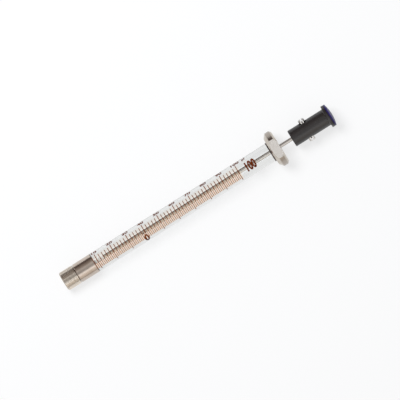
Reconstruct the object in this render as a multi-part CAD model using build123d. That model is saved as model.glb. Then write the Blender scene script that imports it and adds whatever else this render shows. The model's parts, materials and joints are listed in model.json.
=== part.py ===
"""A 100 microlitre gas-tight microsyringe with a removable-needle front end, lying on a table.

The syringe is turned work round one axis. It is modelled straight, along +X from the nut at
the front to the push button at the back, with X = 0 at the nut's front face. The last step
lays it down as it rests: on one of the finger flange's two flats and the nut's front edge.

Front end: a nickel-plated hub is cemented over the ground-down end of the glass. Its threaded
nose takes a knurled nut, which squeezes a ferrule and a seat round the needle.
Barrel: thick glass with a fine bore. The scale is fired ink, so its lines stand a little proud.
Plunger: a steel rod with a long PTFE tip, clamped in the push button by two set screws.
All lengths are in millimetres and all angles in degrees.
"""
from build123d import *
from math import atan, ceil, cos, degrees, pi, radians, sin
import os

# Barrel and scale
SCALE_LENGTH = 60.0          # from the zero mark to the full mark
SCALE_STEPS = 100            # one microlitre each, which the bore makes 0.6 mm long
BORE_RADIUS = 0.728
BARREL_RADIUS = 3.3
BARREL_LENGTH = 75.6         # the glass from its front end to its back end
BARREL_EDGE = 0.15           # bevel on the back end of the glass
SPIGOT_RADIUS = 2.6          # the ground-down front end that the hub holds
CEMENT_GAP = 0.03            # film of cement between glass and metal

# Ink of the scale: a short line at each step, a longer one at each second, the longest at each tenth
INK_HEIGHT = 0.03
INK_GAP = 0.005              # keeps ink and glass apart as solids
INK_FACET = 13.0             # the arcs are drawn as chords of at most this angle
FIRST_LINE = 8               # the hub covers the lines below it
LINE_BASE = -44.3            # angle from the top of the barrel, towards +Y, where lines start
FINE_LINE = (0.22, 34.0)     # width, and arc in degrees
EVEN_LINE = (0.23, 78.4)
TENTH_LINE = (0.26, 90.2)
TENTH_OVERHANG = 12.5        # how far the longest lines also reach below the base

# Hub
HUB_FRONT_GAP = 0.16         # between the tightened nut and the hub's shoulder
HUB_LENGTH = 6.68            # shoulder to back edge, along the plain sleeve
HUB_RADIUS = 3.3
HUB_EDGE = 0.12
SHOULDER_TO_GLASS = 1.95     # from the hub's shoulder to the front end of the glass
NOSE_RADIUS = 2.4
NOSE_FRONT_GAP = 0.2         # between the nose and the nut's front wall
NOSE_EDGE = 0.3
NOSE_BORE_RADIUS = 1.6
UNDERCUT_RADIUS = 2.15       # runout groove of the thread, next to the shoulder
UNDERCUT_LENGTH = 0.5

# Nut
NUT_LENGTH = 5.07
NUT_RADIUS = 3.3             # over the points of the knurl
NUT_EDGE = 0.3
NUT_WALL = 1.2               # front wall round the needle port
NUT_CLEARANCE = 0.05         # between the nut's bore and the hub's nose
PORT_RADIUS = 0.8
PORT_MOUTH = 0.35            # countersink of the port
FRONT_LAND = 0.5             # plain ring in front of the knurl
BACK_LAND = 0.37
KNURL_DEPTH = 0.1
KNURL_COUNT = 32             # diamonds round the nut
KNURL_ROWS = 7               # whole diamonds along the nut

# Needle seal
FERRULE_RADIUS = 1.5
FERRULE_COLLAR = 1.15        # its straight part, before the cone
FERRULE_LENGTH = 2.3
FERRULE_NOSE_RADIUS = 0.75
FERRULE_GAP = 0.05           # nut to ferrule
SEAT_GAP = 0.14              # ferrule to seat, before the nut is pulled up tight
SEAT_HEAD_LENGTH = 0.57
NEEDLE_RADIUS = 0.26         # the removable needle that the seal takes
NEEDLE_CLEARANCE = 0.04

# Finger flange: a thick disc with two flats, its front edge crowned by two cones
FLANGE_NECK_LENGTH = 0.45
FLANGE_NECK_WALL = 0.15
FLANGE_THICKNESS = 3.33
FLANGE_RADIUS = 6.18
FLANGE_ACROSS_FLATS = 10.5
FLANGE_CROWN_RUN = 1.2       # of both cones, along the axis
FLANGE_CROWN_DEPTH = 1.35    # of both cones, towards the axis
FLANGE_CROWN_CORNER = 0.62   # run and depth at which the two cones meet
FLANGE_BACK_BEVEL = 0.65
GLASS_SETBACK = 0.25         # back end of the glass below the flange's back face

# Plunger
ROD_RADIUS = 0.65
TIP_LENGTH = 8.13
TIP_CLEARANCE = 0.012        # radial, between tip and bore
TIP_EDGE = 0.12
TIP_STOP_GAP = 0.05          # the tip's front end short of the end of the bore
TANG_RADIUS = 0.4            # turned-down end of the rod inside the tip
TANG_LENGTH = 5.8
SLIP_GAP = 0.02              # close fits of the small turned parts

# Push button
BUTTON_GAP = 4.52            # flange to button with the plunger pushed home
BUTTON_RADIUS = 2.92
BUTTON_LENGTH = 13.3
BUTTON_EDGE = 0.18
BUTTON_ROOT_ROUNDING = 0.25
RIM_RADIUS = 3.93
RIM_THICKNESS = 0.68
ROD_GRIP_LENGTH = 10.8       # rod inside the button
SOCKET_EDGE = 0.15           # bevel at the mouth of the rod's socket
CAP_RADIUS = 3.88
CAP_EDGE_THICKNESS = 0.78
CAP_DOME_HEIGHT = 0.62
DOME_RINGS = 3               # the low dome is drawn as this many cones
CAP_STEM_RADIUS = 1.5
CAP_STEM_LENGTH = 1.7

# Set screws of the push button
SCREW_RADIUS = 1.08
SCREW_REACH = 3.95           # from the rod's axis to the slotted end
SCREW_POINT_RADIUS = 0.55
SCREW_POINT_LENGTH = 0.5
SCREW_EDGE = 0.12
SLOT_WIDTH = 0.4
SLOT_DEPTH = 0.9
SCREW_SETBACK = 5.66         # button's front face to the screws' axis
SCREW_CLOCKING = 14.0        # the first screw's lift above the horizontal
SPOT_FACE_RADIUS = 1.6
SPOT_FACE_DEPTH = 0.5

# Worked-out places along the axis
hub_x = NUT_LENGTH + HUB_FRONT_GAP
hub_end_x = hub_x + HUB_LENGTH
glass_x = hub_x + SHOULDER_TO_GLASS
glass_end_x = glass_x + BARREL_LENGTH
flange_end_x = glass_end_x + GLASS_SETBACK
flange_x = flange_end_x - FLANGE_THICKNESS
button_x = flange_end_x + BUTTON_GAP
rim_x = button_x + BUTTON_LENGTH
cap_x = rim_x + RIM_THICKNESS
screw_x = button_x + SCREW_SETBACK
tip_x = glass_x + TIP_STOP_GAP
tip_end_x = tip_x + TIP_LENGTH
nose_x = NUT_WALL + NOSE_FRONT_GAP
seat_x = glass_x - SLIP_GAP - SEAT_HEAD_LENGTH
ferrule_x = NUT_WALL + FERRULE_GAP
stem_x = ferrule_x + FERRULE_LENGTH + SEAT_GAP
needle_hole_radius = NEEDLE_RADIUS + NEEDLE_CLEARANCE
flat_depth = FLANGE_RADIUS - FLANGE_ACROSS_FLATS / 2


def turned(*points):
    """A solid of revolution about the X axis, from the (x, radius) corners of its half section."""
    return revolve(make_face(Polyline(*points, close=True)), Axis.X)


def bored(radius, start, end):
    """A cylinder along the axis, to take away."""
    return Pos(X=start) * extrude(Plane.YZ * Circle(radius), end - start)


def glass_barrel():
    """Thick-walled tube with a ground spigot in front and a bevelled back end."""
    spigot_end = hub_end_x + CEMENT_GAP
    tube = turned(
        (glass_x, 0), (glass_x, SPIGOT_RADIUS), (spigot_end, SPIGOT_RADIUS),
        (spigot_end, BARREL_RADIUS), (glass_end_x - BARREL_EDGE, BARREL_RADIUS),
        (glass_end_x, BARREL_RADIUS - BARREL_EDGE), (glass_end_x, 0),
    )
    return tube - bored(BORE_RADIUS, glass_x, glass_end_x)


def scale_line(step, width, start_angle, arc):
    """One raised line of ink across the barrel, centred on its step of the scale."""
    chords = ceil(arc / INK_FACET)
    inner = (BARREL_RADIUS + INK_GAP) / cos(radians(arc / chords / 2))
    turns = [radians(start_angle + arc * count / chords) for count in range(chords + 1)]

    def rim(radius, angles):
        return [(radius * sin(angle), radius * cos(angle)) for angle in angles]

    outline = rim(inner, turns) + rim(inner + INK_HEIGHT - INK_GAP, reversed(turns))
    middle = glass_x + step * SCALE_LENGTH / SCALE_STEPS
    section = Plane.YZ.offset(middle - width / 2) * make_face(Polyline(*outline, close=True))
    return extrude(section, width)


def graduation_scale():
    """All the lines of the scale, as separate strips of ink."""
    lines = []
    for step in range(FIRST_LINE, SCALE_STEPS + 1):
        start = LINE_BASE
        if step % 10 == 0:
            width, arc = TENTH_LINE
            start, arc = start - TENTH_OVERHANG, arc + TENTH_OVERHANG
        elif step % 2 == 0:
            width, arc = EVEN_LINE
        else:
            width, arc = FINE_LINE
        lines.append(scale_line(step, width, start, arc))
    return Compound(children=lines)


def needle_hub():
    """Plated hub: a sleeve cemented over the glass, a shoulder and a nose for the nut."""
    body = turned(
        (nose_x, 0), (nose_x, NOSE_RADIUS - NOSE_EDGE), (nose_x + NOSE_EDGE, NOSE_RADIUS),
        (hub_x - UNDERCUT_LENGTH, NOSE_RADIUS), (hub_x - UNDERCUT_LENGTH, UNDERCUT_RADIUS),
        (hub_x, UNDERCUT_RADIUS), (hub_x, HUB_RADIUS - HUB_EDGE),
        (hub_x + HUB_EDGE, HUB_RADIUS), (hub_end_x - HUB_EDGE, HUB_RADIUS),
        (hub_end_x, HUB_RADIUS - HUB_EDGE), (hub_end_x, 0),
    )
    body -= bored(NOSE_BORE_RADIUS, nose_x, seat_x)
    return body - bored(SPIGOT_RADIUS + CEMENT_GAP, seat_x, hub_end_x)


def knurled_band(start, length):
    """Diamond knurl as a closed polyhedron: rows of four-sided points, each row half a step on.

    The grooves cross at the corners of the diamonds, at the root radius. Each diamond rises
    from its four corners to a point at its centre.
    """
    root = NUT_RADIUS - KNURL_DEPTH
    step = length / (2 * KNURL_ROWS)
    turn = 2 * pi / KNURL_COUNT

    def node(row, place, radius):
        angle = place * turn
        return Vector(start + row * step, -radius * sin(angle), -radius * cos(angle))

    def triangle(*corners):
        return Face(Wire.make_polygon(corners, close=True))

    faces = []
    last = 2 * KNURL_ROWS
    for row in range(1, last):
        for count in range(KNURL_COUNT):
            place = count + (0 if row % 2 else 0.5)
            point = node(row, place, NUT_RADIUS)
            front, back = node(row - 1, place, root), node(row + 1, place, root)
            left, right = node(row, place - 0.5, root), node(row, place + 0.5, root)
            faces += [
                triangle(point, front, right), triangle(point, right, back),
                triangle(point, back, left), triangle(point, left, front),
            ]
    for row, inner_row in ((0, 1), (last, last - 1)):
        rim = [node(row, count, root) for count in range(KNURL_COUNT)]
        for count, corner in enumerate(rim):
            following = rim[(count + 1) % KNURL_COUNT]
            faces.append(triangle(corner, following, node(inner_row, count + 0.5, root)))
        faces.append(triangle(*rim))
    return Solid(Shell(faces))


def knurled_nut():
    """Finger nut: knurled outside, with a threaded bore behind and a needle port in front."""
    land_radius = NUT_RADIUS - KNURL_DEPTH / 2
    knurl_end = NUT_LENGTH - BACK_LAND
    front_ring = turned(
        (0, 0), (0, land_radius - NUT_EDGE), (NUT_EDGE, land_radius), (FRONT_LAND, land_radius),
        (FRONT_LAND, 0),
    )
    back_ring = turned(
        (knurl_end, 0), (knurl_end, land_radius), (NUT_LENGTH - NUT_EDGE / 2, land_radius),
        (NUT_LENGTH, land_radius - NUT_EDGE / 2), (NUT_LENGTH, 0),
    )
    blank = front_ring + knurled_band(FRONT_LAND, knurl_end - FRONT_LAND) + back_ring
    blank -= bored(NOSE_RADIUS + NUT_CLEARANCE, NUT_WALL, NUT_LENGTH)
    port = turned(
        (0, 0), (0, PORT_RADIUS + PORT_MOUTH), (PORT_MOUTH, PORT_RADIUS),
        (NUT_WALL, PORT_RADIUS), (NUT_WALL, 0),
    )
    return blank - port


def needle_ferrule():
    """Cone that the nut presses round the needle."""
    end = ferrule_x + FERRULE_LENGTH
    cone = turned(
        (ferrule_x, 0), (ferrule_x, FERRULE_RADIUS), (ferrule_x + FERRULE_COLLAR, FERRULE_RADIUS),
        (end, FERRULE_NOSE_RADIUS), (end, 0),
    )
    return cone - bored(needle_hole_radius, ferrule_x, end)


def needle_seat():
    """PTFE plug between the nose's bore and the glass, with a fine hole for the liquid."""
    stem_radius = NOSE_BORE_RADIUS - SLIP_GAP
    head_x = seat_x + SLIP_GAP
    end = seat_x + SEAT_HEAD_LENGTH
    plug = turned(
        (stem_x, 0), (stem_x, stem_radius), (head_x, stem_radius), (head_x, SPIGOT_RADIUS),
        (end, SPIGOT_RADIUS), (end, 0),
    )
    return plug - bored(needle_hole_radius, stem_x, end)


def finger_flange():
    """Thick round flange with crowned edges, a flat on two sides, and a neck round the glass."""
    disc = turned(
        (flange_x, 0), (flange_x, FLANGE_RADIUS - FLANGE_CROWN_DEPTH),
        (flange_x + FLANGE_CROWN_CORNER, FLANGE_RADIUS - FLANGE_CROWN_CORNER),
        (flange_x + FLANGE_CROWN_RUN, FLANGE_RADIUS), (flange_end_x - FLANGE_BACK_BEVEL, FLANGE_RADIUS),
        (flange_end_x, FLANGE_RADIUS - FLANGE_BACK_BEVEL), (flange_end_x, 0),
    )
    band = Rectangle(2 * FLANGE_RADIUS, FLANGE_ACROSS_FLATS)
    body = disc & extrude(Plane.YZ.offset(flange_x) * band, FLANGE_THICKNESS)
    hole_radius = BARREL_RADIUS + CEMENT_GAP
    neck_x = flange_x - FLANGE_NECK_LENGTH
    body += bored(hole_radius + FLANGE_NECK_WALL, neck_x, flange_x + FLANGE_CROWN_RUN)
    return body - bored(hole_radius, neck_x, flange_end_x)


def plunger_tip():
    """PTFE piston, a close fit in the bore, bored for the rod's tang."""
    radius = BORE_RADIUS - TIP_CLEARANCE
    piston = turned(
        (tip_x, 0), (tip_x, radius - TIP_EDGE), (tip_x + TIP_EDGE, radius), (tip_end_x, radius),
        (tip_end_x, 0),
    )
    return piston - bored(TANG_RADIUS + SLIP_GAP, tip_end_x - TANG_LENGTH - SLIP_GAP, tip_end_x)


def plunger_rod():
    """Ground steel wire with a turned-down tang in front."""
    shoulder_x = tip_end_x + SLIP_GAP
    end_x = button_x + ROD_GRIP_LENGTH
    return turned(
        (shoulder_x - TANG_LENGTH, 0), (shoulder_x - TANG_LENGTH, TANG_RADIUS), (shoulder_x, TANG_RADIUS),
        (shoulder_x, ROD_RADIUS), (end_x, ROD_RADIUS), (end_x, 0),
    )


def screw_frame(side):
    """Plane whose Z axis runs out along a set screw: side 0 is the raised one, side 1 the other."""
    lift = radians(SCREW_CLOCKING)
    sign = 1 if side == 0 else -1
    return Plane((screw_x, 0, 0), x_dir=(1, 0, 0), z_dir=(0, sign * cos(lift), sign * sin(lift)))


def plunger_button():
    """Moulded push button: rod socket in front, rimmed end, and a tapped hole from each side."""
    body = turned(
        (button_x, 0), (button_x, BUTTON_RADIUS - BUTTON_EDGE), (button_x + BUTTON_EDGE, BUTTON_RADIUS),
        (rim_x - BUTTON_ROOT_ROUNDING, BUTTON_RADIUS), (rim_x, BUTTON_RADIUS + BUTTON_ROOT_ROUNDING),
        (rim_x, RIM_RADIUS), (cap_x, RIM_RADIUS), (cap_x, 0),
    )
    socket_radius = ROD_RADIUS + SLIP_GAP
    body -= turned(
        (button_x, 0), (button_x, socket_radius + SOCKET_EDGE), (button_x + SOCKET_EDGE, socket_radius),
        (button_x + ROD_GRIP_LENGTH + SLIP_GAP, socket_radius),
        (button_x + ROD_GRIP_LENGTH + SLIP_GAP, 0),
    )
    body -= bored(CAP_STEM_RADIUS + SLIP_GAP, cap_x - CAP_STEM_LENGTH - SLIP_GAP, cap_x)
    for side in (0, 1):
        frame = screw_frame(side)
        body -= extrude(frame * Circle(SCREW_RADIUS + SLIP_GAP), SCREW_REACH)
        spot = frame.offset(BUTTON_RADIUS - SPOT_FACE_DEPTH)
        body -= extrude(spot * Circle(SPOT_FACE_RADIUS), BUTTON_RADIUS)
    return body


def button_cap():
    """Domed coloured disc with a stem pressed into the button."""
    rim_end = cap_x + CAP_EDGE_THICKNESS
    stem_end = cap_x - CAP_STEM_LENGTH
    shares = [ring / DOME_RINGS for ring in range(DOME_RINGS + 1)]
    dome = [(rim_end + CAP_DOME_HEIGHT * (1 - share**2), CAP_RADIUS * share) for share in shares]
    return turned(
        *dome, (cap_x, CAP_RADIUS), (cap_x, CAP_STEM_RADIUS), (stem_end, CAP_STEM_RADIUS),
        (stem_end, 0),
    )


def set_screw(side):
    """Slotted grub screw, from its cone point on the rod to its slotted end."""
    start = ROD_RADIUS + SLIP_GAP
    section = Polyline(
        (0, start), (SCREW_POINT_RADIUS, start), (SCREW_RADIUS, start + SCREW_POINT_LENGTH),
        (SCREW_RADIUS, SCREW_REACH - SCREW_EDGE), (SCREW_RADIUS - SCREW_EDGE, SCREW_REACH),
        (0, SCREW_REACH), close=True,
    )
    screw = revolve(Plane.XZ * make_face(section), Axis.Z)
    slot = Pos(Z=SCREW_REACH) * Box(SLOT_WIDTH, 4 * SCREW_RADIUS, 2 * SLOT_DEPTH)
    return screw_frame(side).location * (screw - slot)


def laid_down(pieces):
    """Turns the straight syringe about Y until flange and nut both touch the floor.

    The origin is then on the floor, under the middle of the syringe's box.
    """
    lower_cone = FLANGE_CROWN_DEPTH - FLANGE_CROWN_CORNER
    flat_x = flange_x + FLANGE_CROWN_CORNER * (FLANGE_CROWN_DEPTH - flat_depth) / lower_cone
    knurl_x = FRONT_LAND + (NUT_LENGTH - BACK_LAND - FRONT_LAND) / (2 * KNURL_ROWS)
    tilt = degrees(atan((FLANGE_ACROSS_FLATS / 2 - NUT_RADIUS) / (flat_x - knurl_x)))
    leaning = {name: Rot(Y=-tilt) * piece for name, piece in pieces.items()}
    boxes = [piece.bounding_box() for piece in leaning.values()]
    middle = (min(box.min.X for box in boxes) + max(box.max.X for box in boxes)) / 2
    lowest = min(box.min.Z for box in boxes)
    return {name: Pos(-middle, 0, -lowest) * piece for name, piece in leaning.items()}


parts = laid_down({
    "glass_barrel": glass_barrel(),
    "graduation_scale": graduation_scale(),
    "needle_hub": needle_hub(),
    "knurled_nut": knurled_nut(),
    "needle_ferrule": needle_ferrule(),
    "needle_seat": needle_seat(),
    "finger_flange": finger_flange(),
    "plunger_rod": plunger_rod(),
    "plunger_tip": plunger_tip(),
    "plunger_button": plunger_button(),
    "button_cap": button_cap(),
    "set_screw_raised": set_screw(0),
    "set_screw_lowered": set_screw(1),
})

os.makedirs("parts", exist_ok=True)
for name, part in parts.items():
    export_step(part, f"parts/{name}.step")
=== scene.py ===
"""Looks of the microsyringe: finishes, print on the glass, studio and camera.

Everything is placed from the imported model. Local millimetres run along the syringe: X from the
nut's front face towards the button, Z upwards square to the axis, and Y as in the row frame.
Angles round the axis are counted from the top of the syringe towards +Y.
"""
import json
from math import atan2, cos, radians, sin, tau

import bmesh
import bpy
from mathutils import Matrix, Vector


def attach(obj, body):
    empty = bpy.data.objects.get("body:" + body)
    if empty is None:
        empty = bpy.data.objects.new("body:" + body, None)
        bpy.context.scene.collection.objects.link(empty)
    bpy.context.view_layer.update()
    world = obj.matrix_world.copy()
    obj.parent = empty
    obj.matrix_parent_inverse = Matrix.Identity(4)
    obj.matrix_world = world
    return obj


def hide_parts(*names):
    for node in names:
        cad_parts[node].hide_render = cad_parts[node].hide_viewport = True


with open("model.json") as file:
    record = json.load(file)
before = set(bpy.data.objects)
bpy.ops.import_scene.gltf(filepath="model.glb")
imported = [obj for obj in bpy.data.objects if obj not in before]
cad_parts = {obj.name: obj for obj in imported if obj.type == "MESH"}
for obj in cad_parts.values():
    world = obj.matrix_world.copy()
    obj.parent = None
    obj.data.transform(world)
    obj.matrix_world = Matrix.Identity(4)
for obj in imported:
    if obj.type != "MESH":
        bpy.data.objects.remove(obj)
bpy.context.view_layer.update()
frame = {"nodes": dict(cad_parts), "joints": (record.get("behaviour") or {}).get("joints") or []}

# ---------------------------------------------------------------- places, read from the model
MM = 0.001
BARREL = "barrel"            # the body that the glass and all that is fixed to it belong to
nodes = frame["nodes"]
turn = next(joint for joint in frame["joints"] if joint["name"] == "plunger_turn")
axis = Vector(turn["axis"]).normalized()
tilt = atan2(axis.z, axis.x)


def reach(node):
    """Lowest and highest place of a CAD node along the axis, in metres from the row's origin."""
    places = [vertex.co.dot(axis) for vertex in nodes[node].data.vertices]
    return min(places), max(places)


front = reach("knurled_nut")[0]
on_axis = Vector(turn["pos_m"])
origin = on_axis + axis * (front - on_axis.dot(axis))
lie = Matrix.Translation(origin) @ Matrix.Rotation(-tilt, 4, "Y")


def local_reach(node):
    """The same in local millimetres."""
    return [(place - front) / MM for place in reach(node)]


def place(x, y, z):
    """A point given in local millimetres, in the row frame."""
    return lie @ (Vector((x, y, z)) * MM)


zero_mark = local_reach("glass_barrel")[0]  # the scale is counted from the front of the glass
flange_start, flange_end = local_reach("finger_flange")
button_start, rim_end = local_reach("plunger_button")
SCALE_LENGTH = 60.0
STEP = 0.6                   # from one short line of the scale to the next
GLASS_RADIUS = 3.3
BORE_SIDE = GLASS_RADIUS / 2  # a wall of the glass nearer to the axis than this is the bore's
SKIN = 0.1                   # a wall less than this under its radius counts as the outer one
KNURL_ROOT = 3.2
FLAT_HEIGHT = 5.25           # of the flange's flats above the axis
FLAT_MARGIN = 0.01
RIM_RADIUS = 6.18            # of the flange
SCREW_SETBACK = 5.66         # button's front face to the set screws
SCREW_REACH = 3.95           # axis to the outer end of a set screw
SCREW_CLOCKING = radians(14.0)
SLOT_WIDTH, SLOT_MARGIN = 0.4, 0.01
SLOT_RIM = 0.02              # from a screw's outer face down to where the painted shade in its slot starts


# ---------------------------------------------------------------- shader helpers
def add(tree, kind, inputs=None, **settings):
    """A new shader node. Inputs are values, or sockets to link."""
    made = tree.nodes.new("ShaderNode" + kind)
    for name, value in settings.items():
        setattr(made, name, value)
    for key, value in (inputs or {}).items():
        if isinstance(value, bpy.types.NodeSocket):
            tree.links.new(value, made.inputs[key])
        else:
            made.inputs[key].default_value = value
    return made


def calc(tree, operation, first, second=0.0, third=0.0):
    """The result of one Math node."""
    made = add(tree, "Math", {0: first, 1: second, 2: third}, operation=operation)
    return made.outputs[0]


def times(tree, first, *others):
    """The product of two or more values."""
    for other in others:
        first = calc(tree, "MULTIPLY", first, other)
    return first


def spread(tree, value, low, high, to_low, to_high):
    """Maps value from low..high to to_low..to_high, clamped."""
    made = add(tree, "MapRange", {
        "Value": value, "From Min": low, "From Max": high, "To Min": to_low, "To Max": to_high,
    })
    return made.outputs["Result"]


def either(tree, factor, first, second):
    """Mix of two values."""
    return add(tree, "Mix", {0: factor, 2: first, 3: second}, data_type="FLOAT").outputs[0]


def blend(tree, factor, first, second):
    """Mix of two colours, each a socket or its red, green and blue."""
    inputs = {0: factor}
    for index, colour in ((6, first), (7, second)):
        inputs[index] = colour if isinstance(colour, bpy.types.NodeSocket) else (*colour, 1)
    return add(tree, "Mix", inputs, data_type="RGBA").outputs[2]


def noise(tree, vector, scale, detail=2.0, roughness=0.5):
    """Value of a noise texture, about 0.5 on average."""
    made = add(tree, "TexNoise", {
        "Vector": vector, "Scale": scale, "Detail": detail, "Roughness": roughness,
    })
    return made.outputs["Fac"]


def syringe_space(tree):
    """Where a point of the surface is: local millimetres, and radius and angle round the axis."""
    local = add(tree, "Mapping", {
        "Vector": add(tree, "TexCoord").outputs["Object"], "Location": origin,
        "Rotation": (0.0, -tilt, 0.0), "Scale": (MM, MM, MM),
    }, vector_type="TEXTURE").outputs[0]
    parts = add(tree, "SeparateXYZ", {0: local}).outputs
    across, up = parts["Y"], parts["Z"]
    squares = calc(tree, "ADD", times(tree, across, across), times(tree, up, up))
    return {
        "local": local, "x": parts["X"], "y": across, "z": up,
        "radius": calc(tree, "SQRT", squares), "angle": calc(tree, "ARCTAN2", across, up),
    }


def rings(tree, space, waviness=0.0):
    """Coordinates that are the same all round the axis, or drift a little along each turn."""
    drift = times(tree, space["angle"], waviness)
    return add(tree, "CombineXYZ", {0: space["x"], 1: space["radius"], 2: drift}).outputs[0]


def material(name):
    """A new material with a Principled BSDF, its tree and that node."""
    made = bpy.data.materials.new(name)
    made.use_nodes = True
    tree = made.node_tree
    tree.nodes.clear()
    shader = add(tree, "BsdfPrincipled")
    add(tree, "OutputMaterial", {"Surface": shader.outputs[0]})
    return made, tree, shader


def set_plain(shader, values):
    """Values that are the same all over the surface, on the shader's own sockets."""
    for name, value in values.items():
        shader.inputs[name].default_value = value


def set_colour(tree, shader, factor, first, second):
    """Base colour from first to second by factor."""
    tree.links.new(blend(tree, factor, first, second), shader.inputs["Base Color"])


def overlay(made, factor, colour):
    """Lays a colour by factor over the one that a finished material has."""
    tree = made.node_tree
    shader = tree.nodes["Principled BSDF"]
    under = shader.inputs["Base Color"].links[0].from_socket
    set_colour(tree, shader, factor, under, colour)


def set_roughness(tree, shader, texture, middle, swing):
    """Roughness that a texture varies by swing altogether, round its middle."""
    rough = calc(tree, "MULTIPLY_ADD", texture, swing, middle - swing / 2)
    tree.links.new(rough, shader.inputs["Roughness"])


def set_bump(tree, shader, height, distance):
    """Relief of that height texture, distance in millimetres."""
    made = add(tree, "Bump", {"Height": height, "Distance": distance * MM, "Strength": 1.0})
    tree.links.new(made.outputs[0], shader.inputs["Normal"])


def set_surface(tree, mixed):
    """Puts a shader in place of the Principled BSDF at the material's output."""
    output = next(node for node in tree.nodes if node.type == "OUTPUT_MATERIAL")
    tree.links.new(mixed.outputs[0], output.inputs["Surface"])


# ---------------------------------------------------------------- colours, as red, green, blue
NICKEL, NICKEL_TARNISH = (0.58, 0.50, 0.44), (0.50, 0.43, 0.37)
KNURL_NICKEL, KNURL_GRIME = (0.82, 0.75, 0.665), (0.17, 0.145, 0.12)
FLANGE_NICKEL, FLANGE_TARNISH = (0.60, 0.55, 0.49), (0.52, 0.47, 0.41)
# darker nickel at the flange's rim: painted shade on what the rim mirrors
RIM_SHADE_NICKEL = (0.42, 0.375, 0.33)
# the flats' colour, far brighter than the plate: painted highlight, streaked by real brush marks
BRUSHED_HIGHLIGHT_LOW, BRUSHED_HIGHLIGHT_HIGH = (0.88, 0.85, 0.815), (1.0, 0.98, 0.95)
JOINT_DARK = (0.12, 0.10, 0.095)
# The third is the rod's colour darkened by painted shade, between the flange and the button
STEEL, STEEL_TARNISH, SHADED_STEEL = (0.80, 0.77, 0.735), (0.73, 0.70, 0.67), (0.60, 0.575, 0.55)
SCREW_STEEL, SCREW_TARNISH = (0.62, 0.61, 0.60), (0.52, 0.51, 0.50)
# painted shade in the screwdriver slots
SLOT_SHADE = (0.07, 0.06, 0.055)
BRASS, BRASS_TARNISH = (0.78, 0.58, 0.30), (0.62, 0.44, 0.22)
# Both darker than clear glass: painted shade of the floor under the barrel, seen through it
GLASS_SHADED_CLEAR, GLASS_SHADED_HAZY = (0.855, 0.862, 0.855), (0.835, 0.842, 0.835)
BORE_CLEAR = (0.98, 0.985, 0.98)
# painted reflection of the scale's amber ink in the glass
AMBER_INK_REFLECTION = (0.93, 0.81, 0.65)
WALL_PASSES, BORE_PASSES = (0.86, 0.87, 0.87), (1.0, 1.0, 1.0)  # to light on its way through
ODD_LINE, EVEN_LINE = (0.56, 0.155, 0.007), (0.36, 0.093, 0.006)
EVEN_LINE_END = (0.19, 0.045, 0.006)
BOLD_INK_THIN, BOLD_INK_THICK = (0.15, 0.027, 0.002), (0.10, 0.016, 0.001)
PTFE_GREY, PTFE_WHITE = (0.93, 0.93, 0.915), (0.98, 0.98, 0.97)
BLACK, BLACK_WORN = (0.0095, 0.008, 0.0085), (0.014, 0.011, 0.0115)
VIOLET, VIOLET_WORN = (0.017, 0.010, 0.095), (0.024, 0.015, 0.12)
LAP_BLACK = (0.012, 0.0095, 0.013)

# ---------------------------------------------------------------- finishes
CLOUDS = 0.35, 0.7           # how the noise of a slow stain is stretched
RING_WAVINESS = 0.02
GRIME_REACH = 0.07           # height of the grime above the knurl's root
GRIME_SHARE = 0.9
HANDLED_AND_SHADED_BAND = RIM_RADIUS - 0.3, RIM_RADIUS - 0.1  # in which handling roughens the flange, and painted shade darkens its rim
TURNED_LEAST, TURNED_SWING = 0.13, 0.1  # the flange's roughness where it was turned
BRUSHED_LEAST, BRUSHED_SWING = 0.42, 0.12  # and on its flats
HANDLED_ROUGHNESS = 0.13     # added where hands have dulled it
BRUSH_STRETCH = 30.0, 1.5, 30.0  # brush marks run across the syringe
JOINT_BAND = 0.35, 0.5       # dark joint, from the flange's front face
SHADE_BAND = 1.0              # over which painted shade comes on along the rod, up to the flange's back face
ROD_EDGE_TINT = (0.3, 0.3, 0.3, 1)  # of what the rod mirrors at grazing angles
LAP_BAND = 0.25, 0.4         # black start of the cap, from the button's rim
INK_CLOUDS = 0.3, 0.7        # how the noise of uneven ink is stretched
STREAKS = 0.35, 0.65         # how the noise of brush marks is stretched
WEAR = 0.35, 0.75            # how the noise of wear on plastic is stretched
KNURL_RELIEF, FLANGE_RELIEF, INK_RELIEF = 0.003, 0.004, 0.003
PTFE_RELIEF, PLASTIC_RELIEF = 0.004, 0.006
PTFE_DEPTH = 0.4             # that light reaches into PTFE


def turned_metal(name, colour, tarnish, roughness, lines=14.0, depth=0.004):
    """Plated or bare metal off the lathe: fine rings round the axis, on walls and faces alike."""
    made, tree, shader = material(name)
    space = syringe_space(tree)
    around = rings(tree, space, RING_WAVINESS)
    tool_marks = noise(tree, around, scale=lines, detail=3.0, roughness=0.6)
    stain_and_reflection = spread(tree, noise(tree, space["local"], scale=0.5, detail=3.0), *CLOUDS, 0.0, 1.0)
    set_colour(tree, shader, stain_and_reflection, colour, tarnish)
    set_roughness(tree, shader, tool_marks, roughness, swing=0.12)
    set_plain(shader, {"Metallic": 1.0})
    set_bump(tree, shader, tool_marks, depth)
    return made


def knurled_metal(name, colour, grime, roughness):
    """Plated knurl: bright points, and a little grime where the grooves cross."""
    made, tree, shader = material(name)
    space = syringe_space(tree)
    low = spread(tree, space["radius"], KNURL_ROOT, KNURL_ROOT + GRIME_REACH, 1.0, 0.0)
    outside = calc(tree, "GREATER_THAN", space["radius"], KNURL_ROOT - SKIN)
    set_colour(tree, shader, times(tree, low, outside, GRIME_SHARE), colour, grime)
    grain = noise(tree, space["local"], scale=22.0, detail=4.0, roughness=0.65)
    set_roughness(tree, shader, grain, roughness, swing=0.16)
    set_plain(shader, {"Metallic": 1.0})
    set_bump(tree, shader, grain, KNURL_RELIEF)
    return made


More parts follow.
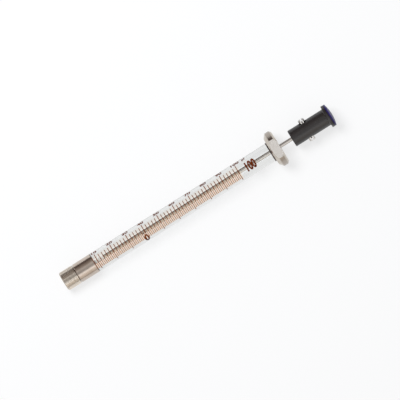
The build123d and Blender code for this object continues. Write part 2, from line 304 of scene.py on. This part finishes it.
def flange_metal(name):
    """Plated flange: polished where it was turned, brushed on its two flats, dark at the joint. The
    flats carry a painted highlight, and the rim painted shade.
    """
    made, tree, shader = material(name)
    space = syringe_space(tree)
    height = calc(tree, "ABSOLUTE", space["z"])
    on_flat = calc(tree, "GREATER_THAN", height, FLAT_HEIGHT - FLAT_MARGIN)
    turned_marks = noise(tree, rings(tree, space), scale=12.0, detail=3.0, roughness=0.6)
    brush = add(tree, "Mapping", {"Vector": space["local"], "Scale": BRUSH_STRETCH}).outputs[0]
    brushed_marks = noise(tree, brush, scale=1.0, detail=3.0, roughness=0.6)
    stain_and_reflection = spread(tree, noise(tree, space["local"], scale=0.6, detail=3.0), *CLOUDS, 0.0, 1.0)
    plate = blend(tree, stain_and_reflection, FLANGE_NICKEL, FLANGE_TARNISH)
    handled_and_shaded = spread(tree, space["radius"], *HANDLED_AND_SHADED_BAND, 0.0, 1.0)
    # the rim's darker colour is painted shade; its extra roughness is from handling
    plate = blend(tree, handled_and_shaded, plate, RIM_SHADE_NICKEL)
    streak = spread(tree, brushed_marks, *STREAKS, 0.0, 1.0)
    # painted highlight on the flats, streaked by the brush marks
    plate = blend(tree, on_flat, plate, blend(tree, streak, BRUSHED_HIGHLIGHT_LOW, BRUSHED_HIGHLIGHT_HIGH))
    joint_start, joint_end = (flange_start + edge for edge in JOINT_BAND)
    joint = spread(tree, space["x"], joint_start, joint_end, 1.0, 0.0)
    # darker band where the neck meets the flange's front face
    set_colour(tree, shader, joint, plate, JOINT_DARK)
    rough = calc(tree, "MULTIPLY_ADD", turned_marks, TURNED_SWING, TURNED_LEAST)
    rough = calc(tree, "MULTIPLY_ADD", handled_and_shaded, HANDLED_ROUGHNESS, rough)
    rough_flat = calc(tree, "MULTIPLY_ADD", brushed_marks, BRUSHED_SWING, BRUSHED_LEAST)
    tree.links.new(either(tree, on_flat, rough, rough_flat), shader.inputs["Roughness"])
    set_plain(shader, {"Metallic": 1.0})
    set_bump(tree, shader, either(tree, on_flat, turned_marks, brushed_marks), FLANGE_RELIEF)
    return made


# Painted reflection of the scale's amber ink in the glass: where it fades in, thins to AMBER_THIN
# and fades out, by angle
AMBER_IN = radians(-48), radians(-43)
AMBER_THINNING = radians(-14), radians(8)
AMBER_OUT = radians(28), radians(46)
AMBER_THIN = 0.6


def glass_material():
    """Clear borosilicate, with a painted amber reflection of the ink where the scale is fired on.

    Shadow rays and diffuse rays go straight through, so what lies by or under the barrel stays
    lit.
    """
    made, tree, shader = material("clear_borosilicate")
    space = syringe_space(tree)
    along, radius, angle = space["x"], space["radius"], space["angle"]
    haze = noise(tree, space["local"], scale=1.2)
    in_bore = calc(tree, "LESS_THAN", radius, BORE_SIDE)
    # darker than clear glass in the walls: painted shade of what lies under the barrel
    tint = blend(tree, in_bore, blend(tree, haze, GLASS_SHADED_CLEAR, GLASS_SHADED_HAZY), BORE_CLEAR)
    before_end = calc(tree, "LESS_THAN", along, zero_mark + SCALE_LENGTH + STEP)
    outside = calc(tree, "GREATER_THAN", radius, GLASS_RADIUS - SKIN)
    # painted reflection of the scale's amber ink, on the outer wall along the scale
    stain_and_reflection = times(tree, spread(tree, angle, *AMBER_IN, 0.0, 1.0),
                  spread(tree, angle, *AMBER_THINNING, 1.0, AMBER_THIN),
                  spread(tree, angle, *AMBER_OUT, 1.0, 0.0), before_end, outside)
    set_colour(tree, shader, stain_and_reflection, tint, AMBER_INK_REFLECTION)
    set_plain(shader, {"Transmission Weight": 1.0, "IOR": 1.47, "Roughness": 0.0})
    rays = add(tree, "LightPath").outputs
    passing = add(tree, "BsdfTransparent", {0: blend(tree, in_bore, WALL_PASSES, BORE_PASSES)})
    mixed = shader
    for kind in ("Is Shadow Ray", "Is Diffuse Ray"):
        mixed = add(tree, "MixShader", {0: rays[kind], 1: mixed.outputs[0], 2: passing.outputs[0]})
    set_surface(tree, mixed)
    return made


def ink_material(name, thin, thick):
    """Fired ceramic ink, satin and uneven in density."""
    made, tree, shader = material(name)
    local = syringe_space(tree)["local"]
    cloud = noise(tree, local, scale=3.0, detail=4.0, roughness=0.6)
    set_colour(tree, shader, spread(tree, cloud, *INK_CLOUDS, 0.0, 1.0), thin, thick)
    set_plain(shader, {"Roughness": 0.45, "Specular IOR Level": 0.08})
    set_bump(tree, shader, noise(tree, local, scale=30.0), INK_RELIEF)
    return made


PAST_SHORT = radians(-16), radians(-6)  # where the short lines end and the longer ones go on
INK_SHADES = 0.8, 1.15       # darkest and lightest patches of the scale's ink


def scale_ink():
    """The same ink on the scale: odd lines thin, even ones dense, most so past the short ones."""
    made, tree, shader = material("fired_ink")
    space = syringe_space(tree)
    pairs = calc(tree, "DIVIDE", calc(tree, "SUBTRACT", space["x"], zero_mark), 2 * STEP)
    off_middle = calc(tree, "SUBTRACT", calc(tree, "FRACT", pairs), 0.5)
    even = calc(tree, "GREATER_THAN", calc(tree, "ABSOLUTE", off_middle), 0.25)
    past = spread(tree, space["angle"], *PAST_SHORT, 0.0, 1.0)
    line = blend(tree, even, ODD_LINE, EVEN_LINE)
    line = blend(tree, times(tree, even, past), line, EVEN_LINE_END)
    cloud = noise(tree, space["local"], scale=3.0, detail=4.0, roughness=0.6)
    cloud = spread(tree, cloud, *INK_CLOUDS, *INK_SHADES)
    shade = add(tree, "CombineColor", {0: cloud, 1: cloud, 2: cloud}).outputs[0]
    both = add(tree, "Mix", {0: 1.0, 6: line, 7: shade}, data_type="RGBA", blend_type="MULTIPLY")
    tree.links.new(both.outputs[2], shader.inputs["Base Color"])
    set_plain(shader, {"Roughness": 0.45, "Specular IOR Level": 0.2})
    set_bump(tree, shader, noise(tree, space["local"], scale=30.0), INK_RELIEF)
    return made


def ptfe_material():
    """White PTFE: waxy, with faint machining rings."""
    made, tree, shader = material("white_ptfe")
    marks = noise(tree, rings(tree, syringe_space(tree)), scale=9.0)
    set_colour(tree, shader, marks, PTFE_GREY, PTFE_WHITE)
    set_plain(shader, {
        "Roughness": 0.42, "Subsurface Weight": 0.15, "Subsurface Scale": 1.0,
        "Subsurface Radius": (PTFE_DEPTH * MM, PTFE_DEPTH * MM, PTFE_DEPTH * MM),
    })
    set_bump(tree, shader, marks, PTFE_RELIEF)
    return made


def moulded_plastic(name, colour, worn, roughness, specular):
    """Moulded plastic with a fine spark-eroded grain and faint handling wear."""
    made, tree, shader = material(name)
    local = syringe_space(tree)["local"]
    texture = noise(tree, local, scale=18.0, detail=5.0, roughness=0.6)
    wear = spread(tree, noise(tree, local, scale=0.8, detail=3.0), *WEAR, 0.0, 1.0)
    set_colour(tree, shader, wear, colour, worn)
    set_roughness(tree, shader, texture, roughness, swing=0.16)
    set_plain(shader, {"Specular IOR Level": specular})
    set_bump(tree, shader, texture, PLASTIC_RELIEF)
    return made


def rod_metal(name):
    """Bright ground steel, with painted shade on it from the flange's back face on to the button.
    """
    made = turned_metal(name, STEEL, STEEL_TARNISH, 0.22, lines=30.0, depth=0.002)
    tree = made.node_tree
    set_plain(tree.nodes["Principled BSDF"], {"Specular Tint": ROD_EDGE_TINT})
    along = syringe_space(tree)["x"]
    # painted shade on the rod between the flange and the button
    shaded = spread(tree, along, flange_end - SHADE_BAND, flange_end, 0.0, 1.0)
    overlay(made, shaded, SHADED_STEEL)
    return made


def slotted_metal(name):
    """Bright screw steel off the lathe, with painted shade in the screwdriver slot."""
    made = turned_metal(name, SCREW_STEEL, SCREW_TARNISH, 0.25, lines=10.0)
    tree = made.node_tree
    space = syringe_space(tree)
    rise = times(tree, space["z"], sin(SCREW_CLOCKING))
    out = calc(tree, "MULTIPLY_ADD", space["y"], cos(SCREW_CLOCKING), rise)
    within = calc(tree, "LESS_THAN", calc(tree, "ABSOLUTE", out), SCREW_REACH - SLOT_RIM)
    off = calc(tree, "SUBTRACT", space["x"], button_start + SCREW_SETBACK)
    aside = calc(tree, "ABSOLUTE", off)
    in_line = calc(tree, "LESS_THAN", aside, SLOT_WIDTH / 2 + SLOT_MARGIN)
    # painted shade in the slot
    overlay(made, times(tree, in_line, within), SLOT_SHADE)
    return made


def cap_plastic(name):
    """Blue-violet cap, black where the button's rim laps over its edge."""
    made = moulded_plastic(name, VIOLET, VIOLET_WORN, 0.36, 0.25)
    tree = made.node_tree
    lap_start, lap_end = (rim_end + edge for edge in LAP_BAND)
    lap = spread(tree, syringe_space(tree)["x"], lap_start, lap_end, 1.0, 0.0)
    overlay(made, lap, LAP_BLACK)
    return made


def dress(node, finish):
    """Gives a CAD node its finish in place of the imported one."""
    data = nodes[node].data
    data.materials.clear()
    data.materials.append(finish)


nickel = turned_metal("turned_nickel", NICKEL, NICKEL_TARNISH, 0.2)
flange_nickel = flange_metal("flange_nickel")
steel = rod_metal("ground_steel")
screw_steel = slotted_metal("screw_steel")
brass = turned_metal("ferrule_brass", BRASS, BRASS_TARNISH, 0.3)
knurl = knurled_metal("knurled_nickel", KNURL_NICKEL, KNURL_GRIME, 0.16)
ink = scale_ink()
bold_ink = ink_material("bold_ink", BOLD_INK_THIN, BOLD_INK_THICK)
ptfe = ptfe_material()
black = moulded_plastic("black_plastic", BLACK, BLACK_WORN, 0.4, 0.75)
violet = cap_plastic("blue_plastic")

for node_name, finish in {
    "glass_barrel": glass_material(), "graduation_scale": ink, "needle_hub": nickel,
    "knurled_nut": knurl, "needle_ferrule": brass, "needle_seat": ptfe,
    "finger_flange": flange_nickel, "plunger_rod": steel, "plunger_tip": ptfe,
    "plunger_button": black, "button_cap": violet, "set_screw_raised": screw_steel,
    "set_screw_lowered": screw_steel,
}.items():
    dress(node_name, finish)


# ---------------------------------------------------------------- new meshes and objects
def mesh_of(work, name):
    """Turns a bmesh into a mesh and frees it."""
    data = bpy.data.meshes.new(name)
    work.to_mesh(data)
    work.free()
    return data


def in_scene(name, data):
    """A new object in the scene."""
    made = bpy.data.objects.new(name, data)
    bpy.context.scene.collection.objects.link(made)
    return made


# ---------------------------------------------------------------- knurl and thread
SHARP = radians(28)


def lathe(name, body, node, finish, section, columns):
    """Closed turned piece in place of a CAD node, from its half section in local millimetres.

    A corner of the section is (x, radius). The radius may be a function of x and the angle.
    """
    work = bmesh.new()
    loops = []
    for x, radius in section:
        loop = []
        for column in range(columns):
            angle = tau * column / columns
            here = radius(x, angle) if callable(radius) else radius
            loop.append(work.verts.new(place(x, here * sin(angle), here * cos(angle))))
        loops.append(loop)
    for first, second in zip(loops, loops[1:] + loops[:1]):
        for column in range(columns):
            after = (column + 1) % columns
            work.faces.new((first[column], second[column], second[after], first[after]))
    bmesh.ops.recalc_face_normals(work, faces=work.faces)
    data = mesh_of(work, name)
    data.shade_smooth()
    data.set_sharp_from_angle(angle=SHARP)
    data.materials.append(finish)
    piece = in_scene(name, data)
    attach(piece, body)
    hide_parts(node)


def steps(start, end, count):
    """Count + 1 evenly spaced places from start to end."""
    return [start + (end - start) * step / count for step in range(count + 1)]


NUT_LENGTH, NUT_RADIUS, NUT_LAND, NUT_BORE, NUT_WALL = 5.07, 3.3, 3.25, 2.45, 1.2
PORT_RADIUS, PORT_MOUTH, NUT_EDGE, NUT_BACK_EDGE = 0.8, 0.35, 0.3, 0.15
KNURL_START, KNURL_END, KNURL_COUNT, KNURL_ROWS = 0.5, 4.7, 32, 7
KNURL_GRAIN = 16             # cells of the mesh to a diamond, each way
GROOVE_SHARE = 0.25          # of the way to a diamond's middle, the rest is its flat top
GROOVE_DEPTH = 0.13


def knurl_radius(x, angle):
    """Flat-topped diamonds between two families of V grooves."""
    around = angle / tau * KNURL_COUNT
    along = (x - KNURL_START) / (KNURL_END - KNURL_START) * KNURL_ROWS
    off = [abs(phase - round(phase)) for phase in (around - along, around + along)]
    return NUT_RADIUS - GROOVE_DEPTH * (1 - min(1.0, 2 * min(off) / GROOVE_SHARE))


knurl_rows = steps(KNURL_END, KNURL_START, KNURL_ROWS * KNURL_GRAIN)
lathe("knurled_nut_fine", "nut", "knurled_nut", knurl, [
    (0, PORT_RADIUS + PORT_MOUTH), (PORT_MOUTH, PORT_RADIUS), (NUT_WALL, PORT_RADIUS),
    (NUT_WALL, NUT_BORE), (NUT_LENGTH, NUT_BORE), (NUT_LENGTH, NUT_LAND - NUT_BACK_EDGE),
    (NUT_LENGTH - NUT_BACK_EDGE, NUT_LAND), (KNURL_END, NUT_LAND),
    *[(x, knurl_radius) for x in knurl_rows], (KNURL_START, NUT_LAND), (NUT_EDGE, NUT_LAND),
    (0, NUT_LAND - NUT_EDGE),
], KNURL_COUNT * KNURL_GRAIN)

NOSE_START, NOSE_RADIUS, NOSE_EDGE, NOSE_BORE = 1.4, 2.4, 0.3, 1.6
UNDERCUT_START, UNDERCUT_RADIUS = 4.73, 2.15
HUB_START, HUB_END, HUB_RADIUS, HUB_EDGE = 5.23, 11.91, 3.3, 0.12
HUB_BORE, SEAT_START = 2.63, 6.59
HUB_COLUMNS = 144            # cells of the mesh round the hub
THREAD_PITCH, THREAD_DEPTH, THREAD_GRAIN = 0.5, 0.22, 10
FLANK_RISE, CREST_SHARE = 1.25, 0.12  # steepness of the V, and where it is cut off at its crest


def thread_radius(x, angle):
    """Right-hand V thread with narrow flats on its crest and root."""
    phase = x / THREAD_PITCH + angle / tau
    rise = 2 * abs(phase - round(phase))
    return NOSE_RADIUS - THREAD_DEPTH * min(1.0, max(0.0, FLANK_RISE * rise - CREST_SHARE))


thread_start = NOSE_START + NOSE_EDGE
thread_rows = steps(thread_start, UNDERCUT_START,
                    round((UNDERCUT_START - thread_start) / THREAD_PITCH * THREAD_GRAIN))
lathe("needle_hub_threaded", BARREL, "needle_hub", nickel, [
    (NOSE_START, NOSE_BORE), (NOSE_START, NOSE_RADIUS - NOSE_EDGE),
    *[(x, thread_radius) for x in thread_rows], (UNDERCUT_START, UNDERCUT_RADIUS),
    (HUB_START, UNDERCUT_RADIUS), (HUB_START, HUB_RADIUS - HUB_EDGE),
    (HUB_START + HUB_EDGE, HUB_RADIUS), (HUB_END - HUB_EDGE, HUB_RADIUS),
    (HUB_END, HUB_RADIUS - HUB_EDGE), (HUB_END, HUB_BORE), (SEAT_START, HUB_BORE),
    (SEAT_START, NOSE_BORE),
], HUB_COLUMNS)

# ---------------------------------------------------------------- print on the glass
INK_LIFT = 0.006             # underside of the print above the glass
INK_THICKNESS = 0.03
WRAP_STEP = 0.25             # print is cut this finely before it is wrapped
PLAIN_FONT_HEIGHT = 0.73     # height of a numeral in the built-in font, for a size of 1
CURVE_STEPS = 4              # of a letter's outline, from one of its points to the next
RING_SIDES = 40


def wrapped(mesh, x, angle):
    """Wraps a flat mesh, drawn in millimetres, round the glass. Its up side goes towards +Y."""
    work = bmesh.new()
    work.from_mesh(mesh)
    low = min(vertex.co.y for vertex in work.verts)
    high = max(vertex.co.y for vertex in work.verts)
    count = int((high - low) / WRAP_STEP)
    for cut in range(1, count + 1):
        level = low + cut * (high - low) / (count + 1)
        everything = work.verts[:] + work.edges[:] + work.faces[:]
        bmesh.ops.bisect_plane(work, geom=everything, plane_co=(0, level, 0), plane_no=(0, 1, 0))
    for vertex in work.verts:
        along, around, lift = vertex.co
        radius = GLASS_RADIUS + INK_LIFT + lift
        turned = angle + around / GLASS_RADIUS
        vertex.co = place(x + along, radius * sin(turned), radius * cos(turned))
    work.to_mesh(mesh)
    work.free()
    return mesh


def lettering(words, height, weight, spread_out):
    """Flat closed mesh of plain numerals, centred on its own middle, lying on z = 0.

    The strokes are thickened by weight, and the words stretched sideways by spread_out.
    """
    curve = bpy.data.curves.new("lettering", "FONT")
    curve.body = words
    curve.size = height / PLAIN_FONT_HEIGHT
    curve.align_x = "CENTER"
    curve.extrude = INK_THICKNESS / 2
    curve.offset = weight
    curve.resolution_u = CURVE_STEPS
    holder = in_scene("lettering", curve)
    bpy.context.view_layer.update()
    graph = bpy.context.evaluated_depsgraph_get()
    mesh = bpy.data.meshes.new_from_object(holder.evaluated_get(graph))
    bpy.data.objects.remove(holder)
    mesh.transform(Matrix.Translation((0, -height / 2, INK_THICKNESS / 2)))
    mesh.transform(Matrix.Scale(spread_out, 4, (1, 0, 0)))
    return mesh


def ring(width, height, stroke):
    """Flat closed mesh of an oval ring."""
    work = bmesh.new()
    rows = []
    for lift in (0.0, INK_THICKNESS):
        for shrink in (0.0, stroke):
            rows.append([
                work.verts.new(((width / 2 - shrink) * cos(tau * side / RING_SIDES),
                                (height / 2 - shrink) * sin(tau * side / RING_SIDES), lift))
                for side in range(RING_SIDES)
            ])
    low_out, low_in, high_out, high_in = rows
    for side in range(RING_SIDES):
        after = (side + 1) % RING_SIDES
        for first, second in ((low_out, high_out), (high_out, high_in), (high_in, low_in),
                              (low_in, low_out)):
            work.faces.new((first[side], first[after], second[after], second[side]))
    return mesh_of(work, "ring")


def printed(name, meshes, finish):
    """One piece of print, made of meshes that are wrapped already."""
    joined = bmesh.new()
    for mesh in meshes:
        joined.from_mesh(mesh)
    bmesh.ops.recalc_face_normals(joined, faces=joined.faces)
    data = mesh_of(joined, name)
    data.materials.append(finish)
    piece = in_scene(name, data)
    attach(piece, BARREL)


NUMBER_HEIGHT = 1.2
NUMBER_WEIGHT = 0.06
NUMBER_SPREAD = 1.4
NUMBER_ANGLE = radians(61.5)
STEP_COUNT = 10              # numbers on the scale
UNIT_SETBACK = 3.3           # full mark to the middle of the unit
numbers = [
    wrapped(lettering(str(10 * count), NUMBER_HEIGHT, NUMBER_WEIGHT, NUMBER_SPREAD),
            zero_mark + count * SCALE_LENGTH / STEP_COUNT, NUMBER_ANGLE)
    for count in range(1, STEP_COUNT + 1)
]
unit = wrapped(lettering("µl", NUMBER_HEIGHT, NUMBER_WEIGHT, 1.0),
               zero_mark + SCALE_LENGTH + UNIT_SETBACK, NUMBER_ANGLE)
printed("scale_numbers", numbers + [unit], bold_ink)

CAPACITY_X = 71.6            # a large plain 100, past the end of the scale
CAPACITY_ANGLE = radians(2.0)
CAPACITY_HEIGHT = 3.1
CAPACITY_WEIGHT = 0.2
CAPACITY_SPREAD = 0.62
capacity = lettering("100", CAPACITY_HEIGHT, CAPACITY_WEIGHT, CAPACITY_SPREAD)
printed("capacity_print", [wrapped(capacity, CAPACITY_X, CAPACITY_ANGLE)], bold_ink)

RING_X = 30.8                # a plain oval ring beside the scale
RING_ANGLE = radians(-42.0)
RING_WIDTH, RING_HEIGHT, RING_STROKE = 1.6, 2.9, 0.58
oval = ring(RING_WIDTH, RING_HEIGHT, RING_STROKE)
printed("ring_mark", [wrapped(oval, RING_X, RING_ANGLE)], bold_ink)

# ---------------------------------------------------------------- studio
FLOOR_SIZE = 3.0
FLOOR_LEVEL = -0.00001       # just under the syringe, so that no faces coincide
FLOOR_COLOUR = (0.945, 0.955, 0.97, 1)
FLOOR_WHITE = 0.7            # share of plain white in the floor, where it is looked at
THROUGH_GLASS = 0.35         # the same where it is seen through the glass
AMBIENT = (0.42, 0.42, 0.43)  # light of the room itself on the floor and on dull surfaces
WHITE = (1, 1, 1)

# What metal and glass mirror, by angle from overhead in degrees, positive towards -Y
SURROUNDINGS = (
    (-100, (0.8, 0.8, 0.8)), (-92, (0.13, 0.10, 0.09)), (-66, (0.13, 0.10, 0.09)),
    (-60, (0.25, 0.21, 0.19)), (-42, (0.34, 0.30, 0.27)), (-28, (0.52, 0.48, 0.46)),
    (-22, (0.76, 0.74, 0.72)), (-6, (0.58, 0.57, 0.56)), (16, (0.48, 0.47, 0.47)),
    (26, (1.4, 1.4, 1.4)), (41, (1.35, 1.33, 1.3)), (50, (1.02, 0.95, 0.88)),
    (64, (0.95, 0.88, 0.8)), (76, (0.76, 0.7, 0.64)), (83, (0.56, 0.50, 0.45)),
    (91, (0.50, 0.44, 0.39)), (100, (0.8, 0.8, 0.8)),
)


def floor():
    """Plain pale floor."""
    work = bmesh.new()
    half = FLOOR_SIZE / 2
    corners = ((-half, -half), (half, -half), (half, half), (-half, half))
    work.faces.new([work.verts.new((x, y, FLOOR_LEVEL)) for x, y in corners])
    data = mesh_of(work, "studio_floor")
    made, tree, shader = material("floor_paper")
    set_plain(shader, {
        "Base Color": FLOOR_COLOUR, "Roughness": 0.9, "Specular IOR Level": 0.0,
    })
    rays = add(tree, "LightPath").outputs
    plainly = calc(tree, "MAXIMUM", rays["Is Camera Ray"], rays["Is Glossy Ray"])
    share = calc(tree, "MAXIMUM", times(tree, plainly, FLOOR_WHITE),
                 times(tree, rays["Is Transmission Ray"], THROUGH_GLASS))
    white = add(tree, "Emission", {"Color": (*WHITE, 1), "Strength": 1.0})
    set_surface(tree, add(tree, "MixShader", {0: share, 1: shader.outputs[0], 2: white.outputs[0]}))
    data.materials.append(made)
    piece = in_scene("studio_floor", data)


def surroundings():
    """World light: metal mirrors a studio that is dark low down behind the syringe."""
    world = bpy.data.worlds.new("studio")
    bpy.context.scene.world = world
    world.use_nodes = True
    tree = world.node_tree
    tree.nodes.clear()
    parts = add(tree, "SeparateXYZ", {0: add(tree, "TexCoord").outputs["Generated"]}).outputs
    angle = calc(tree, "ARCTAN2", times(tree, parts["Y"], -1.0), parts["Z"])
    ramp = add(tree, "ValToRGB", {0: calc(tree, "MULTIPLY_ADD", angle, 1 / tau, 0.5)})
    stops = ramp.color_ramp.elements
    while len(stops) < len(SURROUNDINGS):
        stops.new(1.0)
    for stop, (degree, colour) in zip(stops, SURROUNDINGS):
        stop.position = degree / 360 + 0.5
        stop.color = (*colour, 1)
    rays = add(tree, "LightPath").outputs
    mirrored = calc(tree, "MAXIMUM", rays["Is Glossy Ray"], rays["Is Transmission Ray"])
    lighting = blend(tree, mirrored, AMBIENT, ramp.outputs[0])
    back = add(tree, "Background", {"Color": blend(tree, rays["Is Camera Ray"], lighting, WHITE)})
    add(tree, "OutputWorld", {"Surface": back.outputs[0]})


def softbox(name, target, direction, distance, size, energy):
    """Square area light that looks at target from a direction, and isn't mirrored in anything."""
    lamp = bpy.data.lights.new(name, "AREA")
    lamp.size = size
    lamp.energy = energy
    holder = in_scene(name, lamp)
    holder.location = target + direction.normalized() * distance
    holder.rotation_euler = (-direction).to_track_quat("-Z", "Y").to_euler()
    holder.visible_glossy = False
    holder.visible_transmission = False


PHOTO_TURN = radians(32.12)   # the syringe's axis above the picture's horizontal
PHOTO_WIDTH = 129.96          # millimetres across the picture, at the axis
PHOTO_CENTRE = (51.72, -0.97)  # local x and y in the middle of the picture
CAMERA_DISTANCE = 2.0
NEAR_CLIP = 0.01
SENSOR = 36.0
KEY_DIRECTION = Vector((-0.2, 0.5, 1.0))
KEY_DISTANCE, KEY_SIZE, KEY_ENERGY = 0.6, 0.25, 2.5


def camera(target):
    """Looks straight down on the syringe, turned as the photograph is."""
    data = bpy.data.cameras.new("camera")
    data.sensor_width = SENSOR
    data.lens = SENSOR * CAMERA_DISTANCE / (PHOTO_WIDTH * MM)
    data.clip_start = NEAR_CLIP
    holder = in_scene("camera", data)
    holder.location = target + Vector((0, 0, CAMERA_DISTANCE))
    holder.rotation_euler = (0, 0, -PHOTO_TURN)
    bpy.context.scene.camera = holder


floor()
surroundings()
middle = place(*PHOTO_CENTRE, 0.0)
softbox("key_light", middle, KEY_DIRECTION, KEY_DISTANCE, KEY_SIZE, KEY_ENERGY)
camera(middle)
bpy.context.scene.view_settings.view_transform = "Standard"
